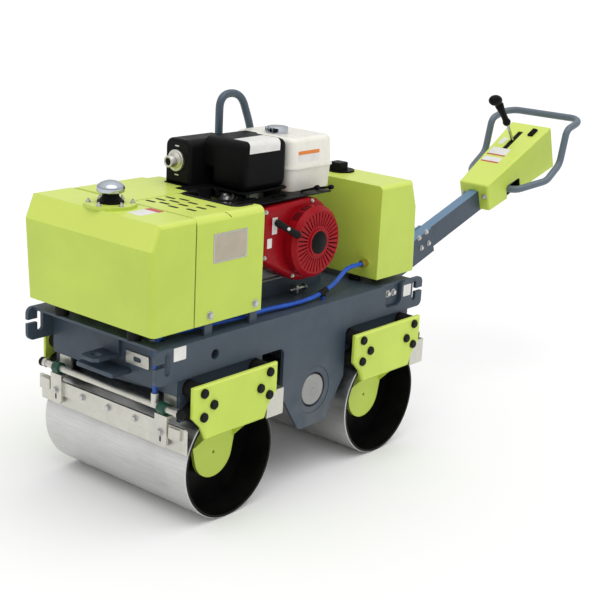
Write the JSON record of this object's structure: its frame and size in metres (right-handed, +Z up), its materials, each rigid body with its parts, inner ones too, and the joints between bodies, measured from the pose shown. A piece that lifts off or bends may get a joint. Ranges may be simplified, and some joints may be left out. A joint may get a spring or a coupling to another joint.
{
  "type": "walk-behind tandem road roller",
  "caption": "Walk-behind tandem vibratory road roller: two smooth open drums on a twin-plate frame, petrol engine between water tanks, hinged drawbar with console and handle loop.",
  "frame": {"origin": "on the ground under the middle of the whole machine's box", "axes": "+X forward, towards the front water tank; +Y to the machine's left; +Z up"},
  "size_m": [2.3984, 0.658, 1.128],
  "materials": {
    "drum_steel": "ground and rolled bright",
    "lime_paint": "gloss paint on sheet",
    "frame_paint": "satin paint on plate",
    "handle_paint": "satin paint on tube",
    "rubber": "matt moulded",
    "steel": "turned",
    "cast_alloy": "cast",
    "red_paint": "gloss paint",
    "cream_paint": "gloss paint",
    "chrome": "plated",
    "black_plastic": "fine grain",
    "black_metal": "heat-proof paint",
    "galvanised": "zinc plated",
    "green_paint": "enamel",
    "hose_blue": "drawn tube",
    "brass": "turned"
  },
  "bodies": {
    "chassis": {"air_cleaner": "black_plastic", "axles_front": "steel", "axles_rear": "steel", "belt_guard": "lime_paint", "buffer_caps": "rubber", "buffers_front": "rubber", "buffers_rear": "rubber", "carrier_front_left": "lime_paint", "carrier_front_right": "lime_paint", "carrier_rear_left": "lime_paint", "carrier_rear_right": "lime_paint", "crankcase": "cast_alloy", "cylinder": "cast_alloy", "deck": "frame_paint", "engine_cover": "lime_paint", "engine_rails": "frame_paint", "exciter_caps": "cast_alloy", "exciter_housing": "frame_paint", "fan_cover": "red_paint", "filler_cap": "black_plastic", "front_tank": "lime_paint", "fuel_cap": "chrome", "fuel_tank": "cream_paint", "hitch_pin": "steel", "hose_fitting": "brass", "lifting_hoop": "frame_paint", "muffler": "black_metal", "pipe_clamps": "green_paint", "rear_tank": "lime_paint", "recoil": "red_paint", "scrapers_front": "galvanised", "scrapers_rear": "galvanised", "side_plate_left": "frame_paint", "side_plate_right": "frame_paint", "sprinkler_front": "galvanised", "sprinkler_rear": "galvanised", "starter_grip": "black_plastic", "subframe_front": "frame_paint", "subframe_rear": "frame_paint", "tank_breather": "chrome", "tank_feet": "rubber", "tow_lug": "frame_paint", "water_hose": "hose_blue"},
    "drum_front": {"drum_front": "drum_steel"},
    "drum_rear": {"drum_rear": "drum_steel"},
    "drawbar": {"drawbar_bracket": "handle_paint", "drawbar": "handle_paint", "console": "lime_paint", "handle_loop": "handle_paint", "drive_lever": "black_plastic", "rocker_switch": "black_plastic"}
  },
  "joints": [
    {"name": "drum_front_spin", "type": "hinge", "parent": "chassis", "child": "drum_front", "pos_m": [0.91723, 0, 0.1775], "axis": [0, 1, 0], "continuous": true},
    {"name": "drum_rear_spin", "type": "hinge", "parent": "chassis", "child": "drum_rear", "pos_m": [0.21723, 0, 0.1775], "axis": [0, 1, 0], "continuous": true},
    {"name": "drawbar_hinge", "type": "hinge", "parent": "chassis", "child": "drawbar", "pos_m": [-0.04277, 0, 0.4425], "axis": [0, 1, 0], "range_deg": [0, 60]}
  ]
}
